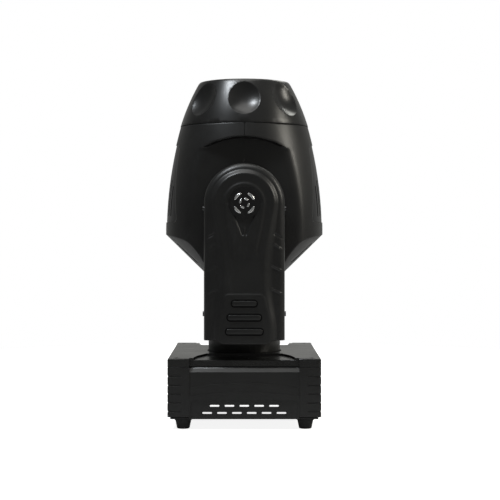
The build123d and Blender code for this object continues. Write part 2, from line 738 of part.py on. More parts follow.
def side_window(grow):
    """The trapezoid of a side vent, larger by grow."""
    with BuildSketch(Plane.XY, mode=Mode.PRIVATE) as outline:
        with BuildLine():
            FilletPolyline(
                (68 + grow, 318 - grow), (40 + grow, 444 + grow), (-40 - grow, 444 + grow),
                (-68 - grow, 318 - grow), (68 + grow, 318 - grow), radius=7, close=True,
            )
        make_face()
    return outline.sketch_local


def shell_blank(inset):
    """The head's body, moved in by inset, with the two arm bays cut flat."""
    with BuildPart(mode=Mode.PRIVATE) as blank:
        with BuildSketch(Plane.XZ):
            add(shell_profile(inset))
        revolve(axis=Axis.Z)
        for s in SIDES.values():
            with BuildSketch(xz_plane(FLAT_Y - inset, s)):
                add(arm_bay(inset))
            extrude(amount=60, mode=Mode.SUBTRACT)
    return blank.part


def head_shells():
    """Front and rear half shells with the arm bays, the axle holes and the side windows."""
    soft_edge = 8
    for end, s in ENDS.items():
        with BuildPart() as shell:
            add(shell_blank(0))
            bay_sides = shell.edges().filter_by_position(Axis.Z, 230, 380)
            fillet(bay_sides.filter_by(lambda e: 60 < abs(e.center().X) < 95), soft_edge)
            add(shell_blank(SHELL), mode=Mode.SUBTRACT)
            with BuildSketch(xz_plane(0, 1)):
                add(below_cheeks(0))
                with Locations((0, TILT_Z)):
                    Circle(AXLE_R + 1)
            extrude(amount=160, both=True, mode=Mode.SUBTRACT)
            with BuildSketch(yz_plane(0)):
                add(side_window(0))
            extrude(amount=150, both=True, mode=Mode.SUBTRACT)
            split(bisect_by=Plane.YZ.offset(s * SPLIT_GAP / 2), keep=Keep.TOP if s > 0 else Keep.BOTTOM)
        save(shell.part, f"head_shell_{end}")


def side_vents():
    """Curved vent panels that fill the side windows, with upright slots."""
    sunk, slots = 1.2, range(-4, 5)
    for end, s in ENDS.items():
        with BuildPart() as vent:
            for inset, mode in ((sunk, Mode.ADD), (sunk + SHELL, Mode.SUBTRACT)):
                with BuildSketch(Plane.XZ):
                    add(shell_profile(inset))
                revolve(axis=Axis.Z, mode=mode)
            with BuildSketch(yz_plane(0)):
                add(side_window(-0.4))
                for i in slots:
                    with Locations((i * 11, 372 - abs(i) * 5)):
                        SlotOverall(86 - abs(i) * 9, 4, rotation=90, mode=Mode.SUBTRACT)
            extrude(amount=s * 150, mode=Mode.INTERSECT)
        save(vent.part, f"{end}_side_vent")


def rear_cover():
    """Conical rear cover: sloped shoulders beside the cheeks, long vents, and the round fan grille."""
    wall, gap, vent_rows = 3, 0.4, (-32, -16, 0, 16, 32)
    with BuildPart() as cover:
        with BuildSketch(xz_plane(0, 1)):
            add(below_cheeks(0.6))
        extrude(amount=160, both=True)
        add(shell_blank(SHELL + gap))
        with BuildSketch(Plane.XZ):
            add(cone_profile(0))
        revolve(axis=Axis.Z, mode=Mode.INTERSECT)
        with BuildSketch(Plane.XZ):
            add(cone_profile(wall))
        revolve(axis=Axis.Z, mode=Mode.SUBTRACT)
        with BuildSketch(Plane.XY.offset(REAR_Z - 5)):
            for r, count in ((16, 8), (27, 12), (38, 16)):
                with PolarLocations(r, count):
                    SlotOverall(7.5, 4)
        extrude(amount=12, mode=Mode.SUBTRACT)
        for y in vent_rows:
            with BuildSketch(Plane((0, y - 2, 0), x_dir=(1, 0, 0), z_dir=(0, -1, 0))):
                for s in ENDS.values():
                    with Locations((s * 93, 268)):
                        SlotOverall(46, 30, rotation=s * 45)
            extrude(amount=-4, mode=Mode.SUBTRACT)
    save(cover.part, "rear_cover")


def front_bezel():
    """Nose ring with thumb dimples towards each arm, the lens seat and the open front."""
    with BuildPart() as bezel:
        with BuildSketch(Plane.XZ):
            with BuildLine():
                ThreePointArc((SEAM_R + 0.5, SEAM_Z), (91.9, 509), (75.2, 543))
                Polyline(
                    (75.2, 543), (73, HEAD_TOP), (66, HEAD_TOP), (62.3, 533), (62.3, LENS_Z),
                    (57, LENS_Z), (57, 516), (70, 512), (72, 500), (99, 478), (99, SEAM_Z),
                    (SEAM_R + 0.5, SEAM_Z),
                )
            make_face()
        revolve(axis=Axis.Z)
        reach = DIMPLE_R - DIMPLE_DEPTH
        centre_r, centre_z = 90 + reach * 0.913, 514.5 + reach * 0.408
        for degrees in DIMPLE_TURNS:
            turn = radians(degrees)
            with Locations((centre_r * sin(turn), -centre_r * cos(turn), centre_z)):
                Sphere(DIMPLE_R, mode=Mode.SUBTRACT)
    save(bezel.part, "front_bezel")


def lenses():
    """Plano-convex front lens in the bezel, and the smaller lens of the focus carriage."""
    sizes = {"front_lens": (61.8, LENS_Z, 5, 10), "focus_lens": (42.8, CARRIAGE_Z + 2, 3, 8)}
    for name, (r, low, edge, crown) in sizes.items():
        with BuildPart() as lens:
            with BuildSketch(Plane.XZ):
                with BuildLine():
                    TangentArc((0, low + crown), (r, low + edge), tangent=(1, 0))
                    Polyline((r, low + edge), (r, low), (0, low), (0, low + crown))
                make_face()
            revolve(axis=Axis.Z)
        save(lens.part, name)


def tilt_axles():
    """Hollow tilt axles with their inner flanges and stepped hubs; the right one carries the tilt pulley."""
    hub_r, neck_r, hub_end, end = 44, 29, 103, 146
    low, high = TILT_BELT_Y
    with BuildPart() as axles:
        for s in SIDES.values():
            extrude(ring(83, s, AXLE_R), amount=end - 83)
            extrude(ring(83, s, AXLE_FLANGE_R), amount=3)
            extrude(ring(FLAT_Y + 0.4, s, hub_r), amount=hub_end - FLAT_Y - 0.4)
            extrude(ring(hub_end, s, neck_r), amount=ARM_IN + 0.5 - hub_end)
        extrude(ring(low, 1, TILT_PULLEY_R), amount=high - low)
        with BuildSketch(xz_plane(low, 1)):
            with Locations((0, TILT_Z)):
                with PolarLocations(30, 6):
                    Circle(5)
        extrude(amount=high - low, mode=Mode.SUBTRACT)
        for s in SIDES.values():
            extrude(ring(80, s, AXLE_BORE), amount=80, mode=Mode.SUBTRACT)
    save(axles.part, "tilt_axles")


def head_frame():
    """Folded frame of the head: two side plates, two optics decks and the guide rods for the focus."""
    plate_y, plate_low, plate_high, thick = 80, 290, 440, 3
    decks = {LOW_DECK: 18, HIGH_DECK: 30}
    with BuildPart() as frame:
        for s in SIDES.values():
            with BuildSketch(xz_plane(plate_y, s)):
                with Locations((0, (plate_low + plate_high) / 2)):
                    RectangleRounded(124, plate_high - plate_low, 20)
                with Locations((0, TILT_Z)):
                    Circle(AXLE_BORE, mode=Mode.SUBTRACT)
            extrude(amount=thick)
        for low, hole_r in decks.items():
            with BuildSketch(Plane.XY.offset(low)):
                RectangleRounded(176, 2 * plate_y, 30)
                Circle(hole_r, mode=Mode.SUBTRACT)
                if low == LOW_DECK:
                    with Locations((WHEEL_X, 0), (-WHEEL_X, 0)):
                        Circle(4, mode=Mode.SUBTRACT)
                else:
                    with Locations((0, FOCUS_MOTOR_Y)):
                        Circle(4, mode=Mode.SUBTRACT)
            extrude(amount=2.5)
        for s in ENDS.values():
            with Locations((s * ROD_X, 0, HIGH_DECK + 2.5)):
                Cylinder(3, 110, align=UPWARD)
        with Locations((0, 0, SINK_TOP)):
            with GridLocations(80, 90, 2, 2):
                Cylinder(3, LOW_DECK - SINK_TOP, align=UPWARD)
    save(frame.part, "head_frame")


def filter_wheels():
    """Colour wheel and gobo wheel on their motor shafts, beside the optical axis."""
    for name, x, z, count in (("colour_wheel", WHEEL_X, COLOUR_Z, 9), ("gobo_wheel", -WHEEL_X, GOBO_Z, 8)):
        with BuildPart() as wheel:
            with BuildSketch(Plane.XY.offset(z)):
                with Locations((x, 0)):
                    Circle(WHEEL_R)
                with Locations((x, 0)):
                    with PolarLocations(WHEEL_X, count):
                        Circle(WHEEL_HOLE_R if count == 8 else WHEEL_HOLE_R - 0.5, mode=Mode.SUBTRACT)
            extrude(amount=1.5)
            with Locations((x, 0, LOW_DECK - 12)):
                Cylinder(2.5, z - LOW_DECK + 13, align=UPWARD)
            with Locations((x, 0, z + 1.5)):
                Cylinder(7, 3.5, align=UPWARD)
        save(wheel.part, name)


def head_motors():
    """Three round stepper motors: colour wheel, gobo wheel and focus, the last with its lead screw."""
    places = [(WHEEL_X, 0, LOW_DECK), (-WHEEL_X, 0, LOW_DECK), (0, FOCUS_MOTOR_Y, HIGH_DECK)]
    with BuildPart() as motors:
        for x, y, z in places:
            with Locations((x, y, z)):
                Cylinder(17.5, 19, align=DOWNWARD)
        for x, y, z in places[:2]:
            with Locations((x, y, z)):
                Cylinder(2.5 + RUN_GAP, 13, align=DOWNWARD, mode=Mode.SUBTRACT)
        with Locations(places[2]):
            Cylinder(3, 95, align=UPWARD)
    save(motors.part, "head_motors")


def focus_carriage():
    """Carriage that holds the focus lens and slides on the two rods."""
    thick, seat_r, hole_r = 12, 43, 40
    with BuildPart() as carriage:
        with BuildSketch(Plane.XY.offset(CARRIAGE_Z)):
            Circle(50)
            with Locations((ROD_X, 0), (-ROD_X, 0)):
                Circle(9)
            Rectangle(2 * ROD_X, 14)
            with Locations((0, 54)):
                Rectangle(22, 22)
            Circle(hole_r, mode=Mode.SUBTRACT)
            with Locations((ROD_X, 0), (-ROD_X, 0)):
                Circle(3 + RUN_GAP, mode=Mode.SUBTRACT)
            with Locations((0, FOCUS_MOTOR_Y)):
                Circle(3 + RUN_GAP, mode=Mode.SUBTRACT)
        extrude(amount=thick)
        with BuildSketch(Plane.XY.offset(CARRIAGE_Z + 2)):
            Circle(seat_r)
        extrude(amount=20, mode=Mode.SUBTRACT)
    save(carriage.part, "focus_carriage")


def light_engine():
    """Finned heatsink with the light source on it, and the fan under it that blows through the cover."""
    plate_low, sink_r, fan_bore = 279, 64, 37.5
    with BuildPart() as engine:
        with Locations((0, 0, plate_low)):
            Cylinder(sink_r, SINK_TOP - plate_low, align=UPWARD)
        with BuildSketch(Plane.XY.offset(FAN_TOP)):
            with GridLocations(8, 0, 15, 1):
                Rectangle(2.4, 2 * sink_r)
            Circle(sink_r, mode=Mode.INTERSECT)
        extrude(amount=plate_low - FAN_TOP)
        with Locations((0, 0, SINK_TOP)):
            Cylinder(30, 4, align=UPWARD)
            Cylinder(19, 16, align=UPWARD)
        fillet(engine.faces().sort_by(Axis.Z)[-1].edges(), 6)
    save(engine.part, "light_engine")
    with BuildPart() as fan:
        with BuildSketch(Plane.XY.offset(FAN_LOW)):
            RectangleRounded(80, 80, 4)
            Circle(fan_bore, mode=Mode.SUBTRACT)
            with GridLocations(71.5, 71.5, 2, 2):
                Circle(2.2, mode=Mode.SUBTRACT)
        extrude(amount=FAN_TOP - FAN_LOW)
        with BuildSketch(Plane.XY.offset(FAN_TOP - 2)):
            Rectangle(2 * fan_bore + 1, 4)
            Rectangle(4, 2 * fan_bore + 1)
            Circle(14)
        extrude(amount=2)
    save(fan.part, "head_fan_frame")
    with BuildPart() as rotor:
        with Locations((0, 0, FAN_LOW + 1)):
            Cylinder(13, 11, align=UPWARD)
        for i in range(7):
            with BuildSketch(Plane.XY.offset(FAN_LOW + 2).rotated((0, 0, i * 360 / 7))):
                with Locations((24, 0)):
                    SlotOverall(25, 3, rotation=20)
            extrude(amount=9)
    save(rotor.part, "head_fan_rotor")


def main():
    base_plate()
    rubber_feet()
    corner_guards()
    vent_panels()
    top_cover()
    control_panel()
    connector_panel()
    power_inlet()
    signal_sockets()
    base_electronics()
    base_chassis()
    pan_drive()
    pan_shaft()
    yoke_frame()
    tilt_drive()
    arm_covers()
    badges()
    bridge_cover()
    head_shells()
    side_vents()
    rear_cover()
    front_bezel()
    lenses()
    tilt_axles()
    head_frame()
    filter_wheels()
    head_motors()
    focus_carriage()
    light_engine()


main()
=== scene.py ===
"""Looks of the moving head light: detailed shells, covers, materials, floor, light and camera.

Lengths in the helpers are millimetres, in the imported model's frame. They turn into metres when a mesh is
made. The floor, the lights and the camera are placed in metres.
"""

import math

import bpy
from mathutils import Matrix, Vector


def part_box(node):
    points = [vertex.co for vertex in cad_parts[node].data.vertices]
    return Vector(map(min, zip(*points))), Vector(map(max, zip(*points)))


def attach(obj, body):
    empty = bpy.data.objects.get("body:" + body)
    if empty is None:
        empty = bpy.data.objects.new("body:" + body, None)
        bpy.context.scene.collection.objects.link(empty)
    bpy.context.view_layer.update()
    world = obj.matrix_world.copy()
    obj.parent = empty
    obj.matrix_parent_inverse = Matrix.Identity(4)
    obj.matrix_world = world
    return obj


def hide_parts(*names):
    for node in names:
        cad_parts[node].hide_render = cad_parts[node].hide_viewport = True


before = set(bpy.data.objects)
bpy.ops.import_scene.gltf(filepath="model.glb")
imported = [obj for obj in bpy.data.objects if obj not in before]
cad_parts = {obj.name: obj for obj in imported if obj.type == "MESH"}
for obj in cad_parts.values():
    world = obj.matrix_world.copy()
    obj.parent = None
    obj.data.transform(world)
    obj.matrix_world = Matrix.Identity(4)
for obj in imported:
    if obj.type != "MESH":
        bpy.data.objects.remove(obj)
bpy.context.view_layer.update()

MM = 0.001
TILT_Z = 346
FLAT_Y = 92
BELLY_R = 128
SIDES = {"left": -1, "right": 1}
ENDS = {"front": 1, "rear": -1}


# ---------------------------------------------------------------- small maths


def clamp(v, low=0.0, high=1.0):
    return max(low, min(high, v))


def ramp(v, start, end):
    """0 at start, 1 at end, eased at both; end may be below start."""
    t = clamp((v - start) / (end - start))
    return t * t * (3 - 2 * t)


def mix(a, b, t):
    return a + (b - a) * t


def soft_min(a, b, k):
    """The smaller of two heights, blended over about k."""
    h = clamp(0.5 + 0.5 * (b - a) / k)
    return mix(b, a, h) - k * h * (1 - h)


def segment_distance(x, z, x0, z0, x1, z1):
    dx, dz = x1 - x0, z1 - z0
    t = clamp(((x - x0) * dx + (z - z0) * dz) / (dx * dx + dz * dz))
    return math.hypot(x - x0 - t * dx, z - z0 - t * dz)


def rounded_box_distance(x, z, half_x, half_z, radius):
    qx, qz = abs(x) - half_x + radius, abs(z) - half_z + radius
    return math.hypot(max(qx, 0), max(qz, 0)) + min(max(qx, qz), 0) - radius


def smooth_line(points, x):
    """A smooth curve through points sorted by their first value."""
    n = len(points)
    x = clamp(x, points[0][0], points[-1][0])
    i = max(j for j in range(n - 1) if points[j][0] <= x)
    slopes = []
    for j in (i, i + 1):
        low, high = max(j - 1, 0), min(j + 1, n - 1)
        slopes.append((points[high][1] - points[low][1]) / (points[high][0] - points[low][0]))
    (x0, y0), (x1, y1) = points[i], points[i + 1]
    w = x1 - x0
    t = (x - x0) / w
    return (
        (2 * t**3 - 3 * t**2 + 1) * y0
        + (t**3 - 2 * t**2 + t) * w * slopes[0]
        + (3 * t**2 - 2 * t**3) * y1
        + (t**3 - t**2) * w * slopes[1]
    )


# ---------------------------------------------------------------- mesh helpers

WELD_GAP = 0.00001
EDGE_DEGREES = 28


def make_piece(name, verts, faces, body, replaced, material, smooth=40):
    """A mesh object from millimetre points, riding on a body and standing for the replaced nodes."""
    mesh = bpy.data.meshes.new(name)
    mesh.from_pydata([(x * MM, y * MM, z * MM) for x, y, z in verts], [], faces)
    mesh.validate()
    mesh.shade_smooth()
    mesh.set_sharp_from_angle(angle=math.radians(smooth))
    piece = bpy.data.objects.new(name, mesh)
    bpy.context.collection.objects.link(piece)
    piece.data.materials.append(material)
    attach(piece, body)
    if replaced:
        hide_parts(*replaced)
    return piece


def grid_faces(rows, cols, closed=False, skip=None, flip=False, start=0):
    """Quads over a grid of rows x cols vertices; closed joins each row's last vertex to its first."""
    faces = []
    for i in range(rows - 1):
        for j in range(cols if closed else cols - 1):
            if skip and skip(i, j):
                continue
            k = (j + 1) % cols
            here, after = start + i * cols, start + (i + 1) * cols
            quad = (here + j, here + k, after + k, after + j)
            faces.append(quad[::-1] if flip else quad)
    return faces


def add_wall(piece, thickness):
    """Gives a surface a wall on its inner side."""
    wall = piece.modifiers.new("wall", "SOLIDIFY")
    wall.thickness = thickness * MM
    wall.offset = -1


def soften_edges(node, width):
    """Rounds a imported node's edges; the weld joins its separate faces first."""
    weld = node.modifiers.new("join", "WELD")
    weld.merge_threshold = WELD_GAP
    bevel = node.modifiers.new("edge", "BEVEL")
    bevel.width = width * MM
    bevel.segments = 2
    bevel.limit_method = "ANGLE"
    bevel.angle_limit = math.radians(EDGE_DEGREES)
    bevel.harden_normals = True


# ---------------------------------------------------------------- materials


def new_material(name):
    material = bpy.data.materials.new(name)
    material.use_nodes = True
    tree = material.node_tree
    tree.nodes.clear()
    out = tree.nodes.new("ShaderNodeOutputMaterial")
    shader = tree.nodes.new("ShaderNodeBsdfPrincipled")
    tree.links.new(shader.outputs["BSDF"], out.inputs["Surface"])
    return material, tree, shader


def noise(tree, scale, detail, rough=0.55, stretch=None):
    coords = tree.nodes.new("ShaderNodeTexCoord")
    node = tree.nodes.new("ShaderNodeTexNoise")
    node.inputs["Scale"].default_value = scale
    node.inputs["Detail"].default_value = detail
    node.inputs["Roughness"].default_value = rough
    if stretch:
        mapping = tree.nodes.new("ShaderNodeMapping")
        mapping.inputs["Scale"].default_value = stretch
        tree.links.new(coords.outputs["Object"], mapping.inputs["Vector"])
        tree.links.new(mapping.outputs["Vector"], node.inputs["Vector"])
    else:
        tree.links.new(coords.outputs["Object"], node.inputs["Vector"])
    return node.outputs["Fac"]


def ranged(tree, value, low, high, start=0.3, end=0.7):
    node = tree.nodes.new("ShaderNodeMapRange")
    node.inputs["From Min"].default_value = start
    node.inputs["From Max"].default_value = end
    node.inputs["To Min"].default_value = low
    node.inputs["To Max"].default_value = high
    tree.links.new(value, node.inputs["Value"])
    return node.outputs["Result"]


def colour_between(tree, factor, dark, light, start=0.35, end=0.65):
    node = tree.nodes.new("ShaderNodeValToRGB")
    node.color_ramp.elements[0].position = start
    node.color_ramp.elements[0].color = (*dark, 1)
    node.color_ramp.elements[1].position = end
    node.color_ramp.elements[1].color = (*light, 1)
    tree.links.new(factor, node.inputs["Fac"])
    return node.outputs["Color"]


def bumped(tree, shader, height, strength, distance):
    bump = tree.nodes.new("ShaderNodeBump")
    bump.inputs["Strength"].default_value = strength
    bump.inputs["Distance"].default_value = distance
    tree.links.new(height, bump.inputs["Height"])
    tree.links.new(bump.outputs["Normal"], shader.inputs["Normal"])


def mixed(tree, factor, base, over):
    """The base colour, with the colour over showing where factor is high."""
    node = tree.nodes.new("ShaderNodeMix")
    node.data_type = "RGBA"
    node.inputs["B"].default_value = (*over, 1)
    tree.links.new(factor, node.inputs["Factor"])
    tree.links.new(base, node.inputs["A"])
    return node.outputs["Result"]


def added(tree, a, b):
    node = tree.nodes.new("ShaderNodeMath")
    node.operation = "ADD"
    tree.links.new(a, node.inputs[0])
    tree.links.new(b, node.inputs[1])
    return node.outputs["Value"]


PATCH_SCALE, PATCH_DETAIL = 14, 4
GRAIN_DETAIL, GRAIN_DEEP = 2, 0.06 * MM
COAT_ROUGH = 0.08
SCUFF_SCALE, SCUFF_DETAIL, SCUFF_ROUGH, SCUFF_STRETCH = 42, 9, 0.68, (1, 1, 0.35)
SCUFF_START, SCUFF_FULL = 0.6, 0.8
WORN_GREY, WORN_SHARE, WORN_ROUGH = 0.09, 0.35, 0.12


def surface(name, dark, light, rough, grain=900, bump=0.25, metal=0.0, coat=0.0, specular=0.5, stretch=None,
            scuff=0.5):
    """A finish with fine grain in its bump, slow patches in its colour and gloss, and sparse scuffs."""
    material, tree, shader = new_material(name)
    patches = noise(tree, PATCH_SCALE, PATCH_DETAIL)
    fine = noise(tree, grain, GRAIN_DETAIL, stretch=stretch)
    marks = noise(tree, SCUFF_SCALE, SCUFF_DETAIL, rough=SCUFF_ROUGH, stretch=SCUFF_STRETCH)
    scuffs = ranged(tree, marks, 0, scuff, SCUFF_START, SCUFF_FULL)
    worn = [mix(c, WORN_GREY, WORN_SHARE) for c in light]
    colour = mixed(tree, scuffs, colour_between(tree, patches, dark, light), worn)
    tree.links.new(colour, shader.inputs["Base Color"])
    dull = ranged(tree, scuffs, 0, WORN_ROUGH, 0, 1)
    tree.links.new(added(tree, ranged(tree, patches, *rough), dull), shader.inputs["Roughness"])
    bumped(tree, shader, fine, bump, GRAIN_DEEP)
    shader.inputs["Metallic"].default_value = metal
    shader.inputs["Specular IOR Level"].default_value = specular
    shader.inputs["Coat Weight"].default_value = coat
    shader.inputs["Coat Roughness"].default_value = COAT_ROUGH
    return material


def grey(value):
    return value, value, value


BLACK = grey(0.0105)
satin = surface("satin_black_plastic", BLACK, (0.0145, 0.0145, 0.014), (0.34, 0.42))
satin_fine = surface(
    "fine_black_plastic", BLACK, (0.014, 0.014, 0.0135), (0.27, 0.33), grain=1300, bump=0.15,
)
cover_plastic = surface(
    "base_black_plastic", grey(0.011), (0.015, 0.015, 0.0145), (0.2, 0.27), bump=0.08,
)
# A lighter copy of the black plastic, about twice as light as the others: painted light that brightens the
# turret, which sits in shade.
turret_plastic = surface("turret_black_plastic", (0.022, 0.022, 0.021), (0.03, 0.03, 0.0285), (0.3, 0.38))
vent_plastic = surface("vent_black_plastic", (0.008, 0.008, 0.009), (0.012, 0.012, 0.013), (0.3, 0.38))
gloss = surface(
    "gloss_black_plastic", (0.004, 0.004, 0.0045), (0.006, 0.006, 0.0065), (0.1, 0.16), bump=0.03, coat=0.15,
)
display_tint = surface(
    "display_window_tint", (0.006, 0.012, 0.02), (0.009, 0.017, 0.028), (0.06, 0.1), bump=0.02, coat=0.3,
    scuff=0.1,
)
powder = surface(
    "black_powder_coat", (0.011, 0.011, 0.0115), (0.016, 0.016, 0.0165), (0.42, 0.52), grain=700, bump=0.5,
)
black_rubber = surface(
    "black_rubber", grey(0.009), (0.014, 0.014, 0.0135), (0.62, 0.75), grain=500, bump=0.4,
)
# Near-black ring colour: painted shade where the groove round each arm bar lies in shadow.
painted_shade_ring = surface("bar_painted_shade", grey(0.002), grey(0.003), (0.8, 0.9), bump=0.1, specular=0.2, scuff=0)
machined = surface(
    "machined_aluminium", (0.5, 0.5, 0.51), (0.62, 0.62, 0.63), (0.24, 0.34), grain=220, metal=1.0,
    stretch=(1, 1, 14),
)
zinc = surface("zinc_plated_steel", grey(0.35), (0.48, 0.48, 0.47), (0.28, 0.4), grain=400, metal=1.0)
dark_screw = surface(
    "blackened_screw", (0.08, 0.08, 0.085), (0.14, 0.14, 0.145), (0.2, 0.3), grain=600, metal=0.9,
)
nickel = surface(
    "nickel_contact", (0.55, 0.53, 0.48), (0.68, 0.66, 0.6), (0.15, 0.25), grain=500, metal=1.0,
)
button_print = surface("button_print", grey(0.55), grey(0.65), (0.4, 0.5), grain=800)
board = surface("circuit_board", (0.01, 0.07, 0.03), (0.015, 0.1, 0.045), (0.35, 0.45), grain=160)
silver_print = surface("silver_print", grey(0.7), grey(0.82), (0.2, 0.3), metal=0.9, bump=0.05)


def lens_glass(name, tint):
    material, tree, shader = new_material(name)
    smudge = noise(tree, 30, 5)
    tree.links.new(ranged(tree, smudge, 0.01, 0.05), shader.inputs["Roughness"])
    tree.links.new(colour_between(tree, smudge, tint, (1, 1, 1)), shader.inputs["Base Color"])
    shader.inputs["Transmission Weight"].default_value = 1.0
    shader.inputs["IOR"].default_value = 1.5
    shader.inputs["Coat Weight"].default_value = 0.4
    return material


glass = lens_glass("coated_glass", (0.86, 0.9, 1.0))


# ---------------------------------------------------------------- arm covers

ARM_LOW, ARM_HALF, ARM_BACK = 136, 62.2, 131.2
ARM_WALL = 2.5
FOOT_LIP, FOOT_LIP_TOP = 5, 152
EMBLEM_R, EMBLEM_TOP, EMBLEM_DROP, EMBLEM_POWER = 24.4, 152.7, 1.1, 2.6
BAND_Y, PANEL_Y, PLATEAU_Y = 142.8, 149.2, 151.2
KEY_SIDE = (
    (132, 43.5), (160, 43.5), (190, 37), (214, 31.8), (238, 31), (262, 31.5), (290, 36), (320, 42.5),
    (346, 47),
)
FACET_SIDE = ((132, 50), (160, 49.5), (190, 46), (214, 44), (262, 44.5), (300, 48), (346, 53))
PLATEAU_SIDE = ((250, 19), (268, 20), (285, 22.5), (310, 28), (346, 33))
PLATEAU_SLOPE = 3.5
WEDGE_TIP = 296
PAD_TOP = 208.5
ARM_BARS = ((193, 39), (171.5, 52), (150, 57))
BAR_HIGH, BAR_EDGE, BAR_CORNER = 9.5, 0.9, 3.4
BAR_LAYERS = ((0.9, -1), (0.9, 1.2), (0, 1.9), (0, 3), (-0.25, 3.35), (-0.9, 3.6))
# Layers of the near-black rings round the bars, which paint the groove's shade.
SHADE_RING_LAYERS = ((2.3, 1.4), (2.2, 2.12), (1.6, 2.2), (0.5, 2.2))
RIDGES = (((45.7, 283.8), (61, 273)), ((42, 249.9), (60.5, 241.6)), ((41.6, 215), (59.7, 206.8)))
RIDGE_GROOVE = (46.6, 299, 59, 292)


def side_slope(across, z):
    """The raised middle, its slope down to the side band, and the band's slight fall to the rim."""
    lead_in, easing, band_fall = 1.5, 0.6, 1.6
    key, facet = smooth_line(KEY_SIDE, z), smooth_line(FACET_SIDE, z)
    t = clamp((across - key + lead_in) / (facet - key + lead_in))
    y = PANEL_Y - (PANEL_Y - BAND_Y) * mix(t, ramp(t, 0, 1), easing)
    return y - band_fall * clamp((across - facet) / (ARM_HALF - facet))


def plateau_rise(across, z):
    """The plateau round the emblem, fading out below it, with a shallow dish inside its upper edge."""
    dish_wide, dish_deep = 8, 0.8
    edge = smooth_line(PLATEAU_SIDE, z)
    fade = ramp(z, 256, 284)
    rise = (PLATEAU_Y - PANEL_Y) * fade * (1 - ramp(across, edge - PLATEAU_SLOPE, edge))
    dish = ramp(across, edge - dish_wide, edge - PLATEAU_SLOPE) if z >= TILT_Z else 1
    return rise - dish_deep * fade * (1 - dish)


def emblem_wedge(across, z):
    """The sunken wedge that runs down from the emblem to a blunt tip, with a short rib in the tip."""
    if not WEDGE_TIP - 1 < z < TILT_Z:
        return 0
    tip_half, top_half, tall, deep = 4.6, 21.5, 42, 1.8
    rib_high, rib_top = 1.4, 312
    half = mix(tip_half, top_half, clamp((z - WEDGE_TIP - 1) / tall))
    outside = max(across - half, WEDGE_TIP - z)
    rib = (1 - ramp(across, 0.5, 1.7)) * (1 - ramp(z, rib_top - 6, rib_top))
    rib *= ramp(z, WEDGE_TIP, WEDGE_TIP + 2)
    return rib_high * rib - deep * (1 - ramp(outside, -1.9, 0.1))


def foot_pad(x, z):
    """The raised pad at the foot that carries the three bars."""
    if z >= PAD_TOP + 6:
        return 0
    high, inset, half_high, corner = 1.5, 1.5, 60, 8
    half = smooth_line(KEY_SIDE, z) - inset
    outside = rounded_box_distance(x, z - (PAD_TOP - half_high), half, half_high, corner)
    return high * (1 - ramp(outside, -3, 0.4))


def side_ridges(across, z, x):
    """Slanting ridges on the side bands, lower at -X, and the groove above them."""
    ridge_high = 1.7 if x > 0 else 0.6
    groove_deep, fade_from = 1.3, 53
    y = 0
    for (x0, z0), (x1, z1) in RIDGES:
        near = 1 - ramp(segment_distance(across, z, x0, z0, x1, z1), 0.2, 1.7)
        y += ridge_high * near * (1 - ramp(across, fade_from, 60.5))
    near = 1 - ramp(segment_distance(across, z, *RIDGE_GROOVE), 0.4, 2.2)
    return y - groove_deep * near * (1 - ramp(across, fade_from, 60))


def arm_height(across, z, x):
    """How far out the cover stands at a distance across from its middle line, at height z; x is signed."""
    relief = plateau_rise(across, z) + emblem_wedge(across, z) + foot_pad(x, z) + side_ridges(across, z, x)
    return side_slope(across, z) + relief


def arm_stations():
    """Spacing of the columns from the middle line out: (which edge, share of the way to the next edge)."""
    counts = (("middle", 24), ("plateau", 7), ("key_in", 5), ("key", 8), ("facet", 16))
    return [(edge, i / n) for edge, n in counts for i in range(n)] + [("facet", 1)]


def arm_column(edge, t, z):
    """Distance from the middle line of a column, which follows the relief's edges up the arm."""
    key = smooth_line(KEY_SIDE, z)
    plateau = min(smooth_line(PLATEAU_SIDE, z), key - 6)
    stops = {
        "middle": 0, "plateau": plateau - PLATEAU_SLOPE, "key_in": key - 3.4, "key": key + 1,
        "facet": smooth_line(FACET_SIDE, z), "rim": ARM_HALF,
    }
    names = list(stops)
    return mix(stops[edge], stops[names[names.index(edge) + 1]], t)


def arm_edge_round(across, y, radius=9):
    """Pulls the surface back in a quarter round at the rim."""
    over = across - (ARM_HALF - radius)
    if over <= 0:
        return y
    return y - radius + math.sqrt(max(radius * radius - over * over, 0))


def foot_drop(x, z):
    """How far the cover's lower edge hangs down at its middle."""
    key = smooth_line(KEY_SIDE, z)
    return FOOT_LIP * (1 - ramp(z, ARM_LOW, FOOT_LIP_TOP)) * (1 - ramp(abs(x), key - 12, key + 1))


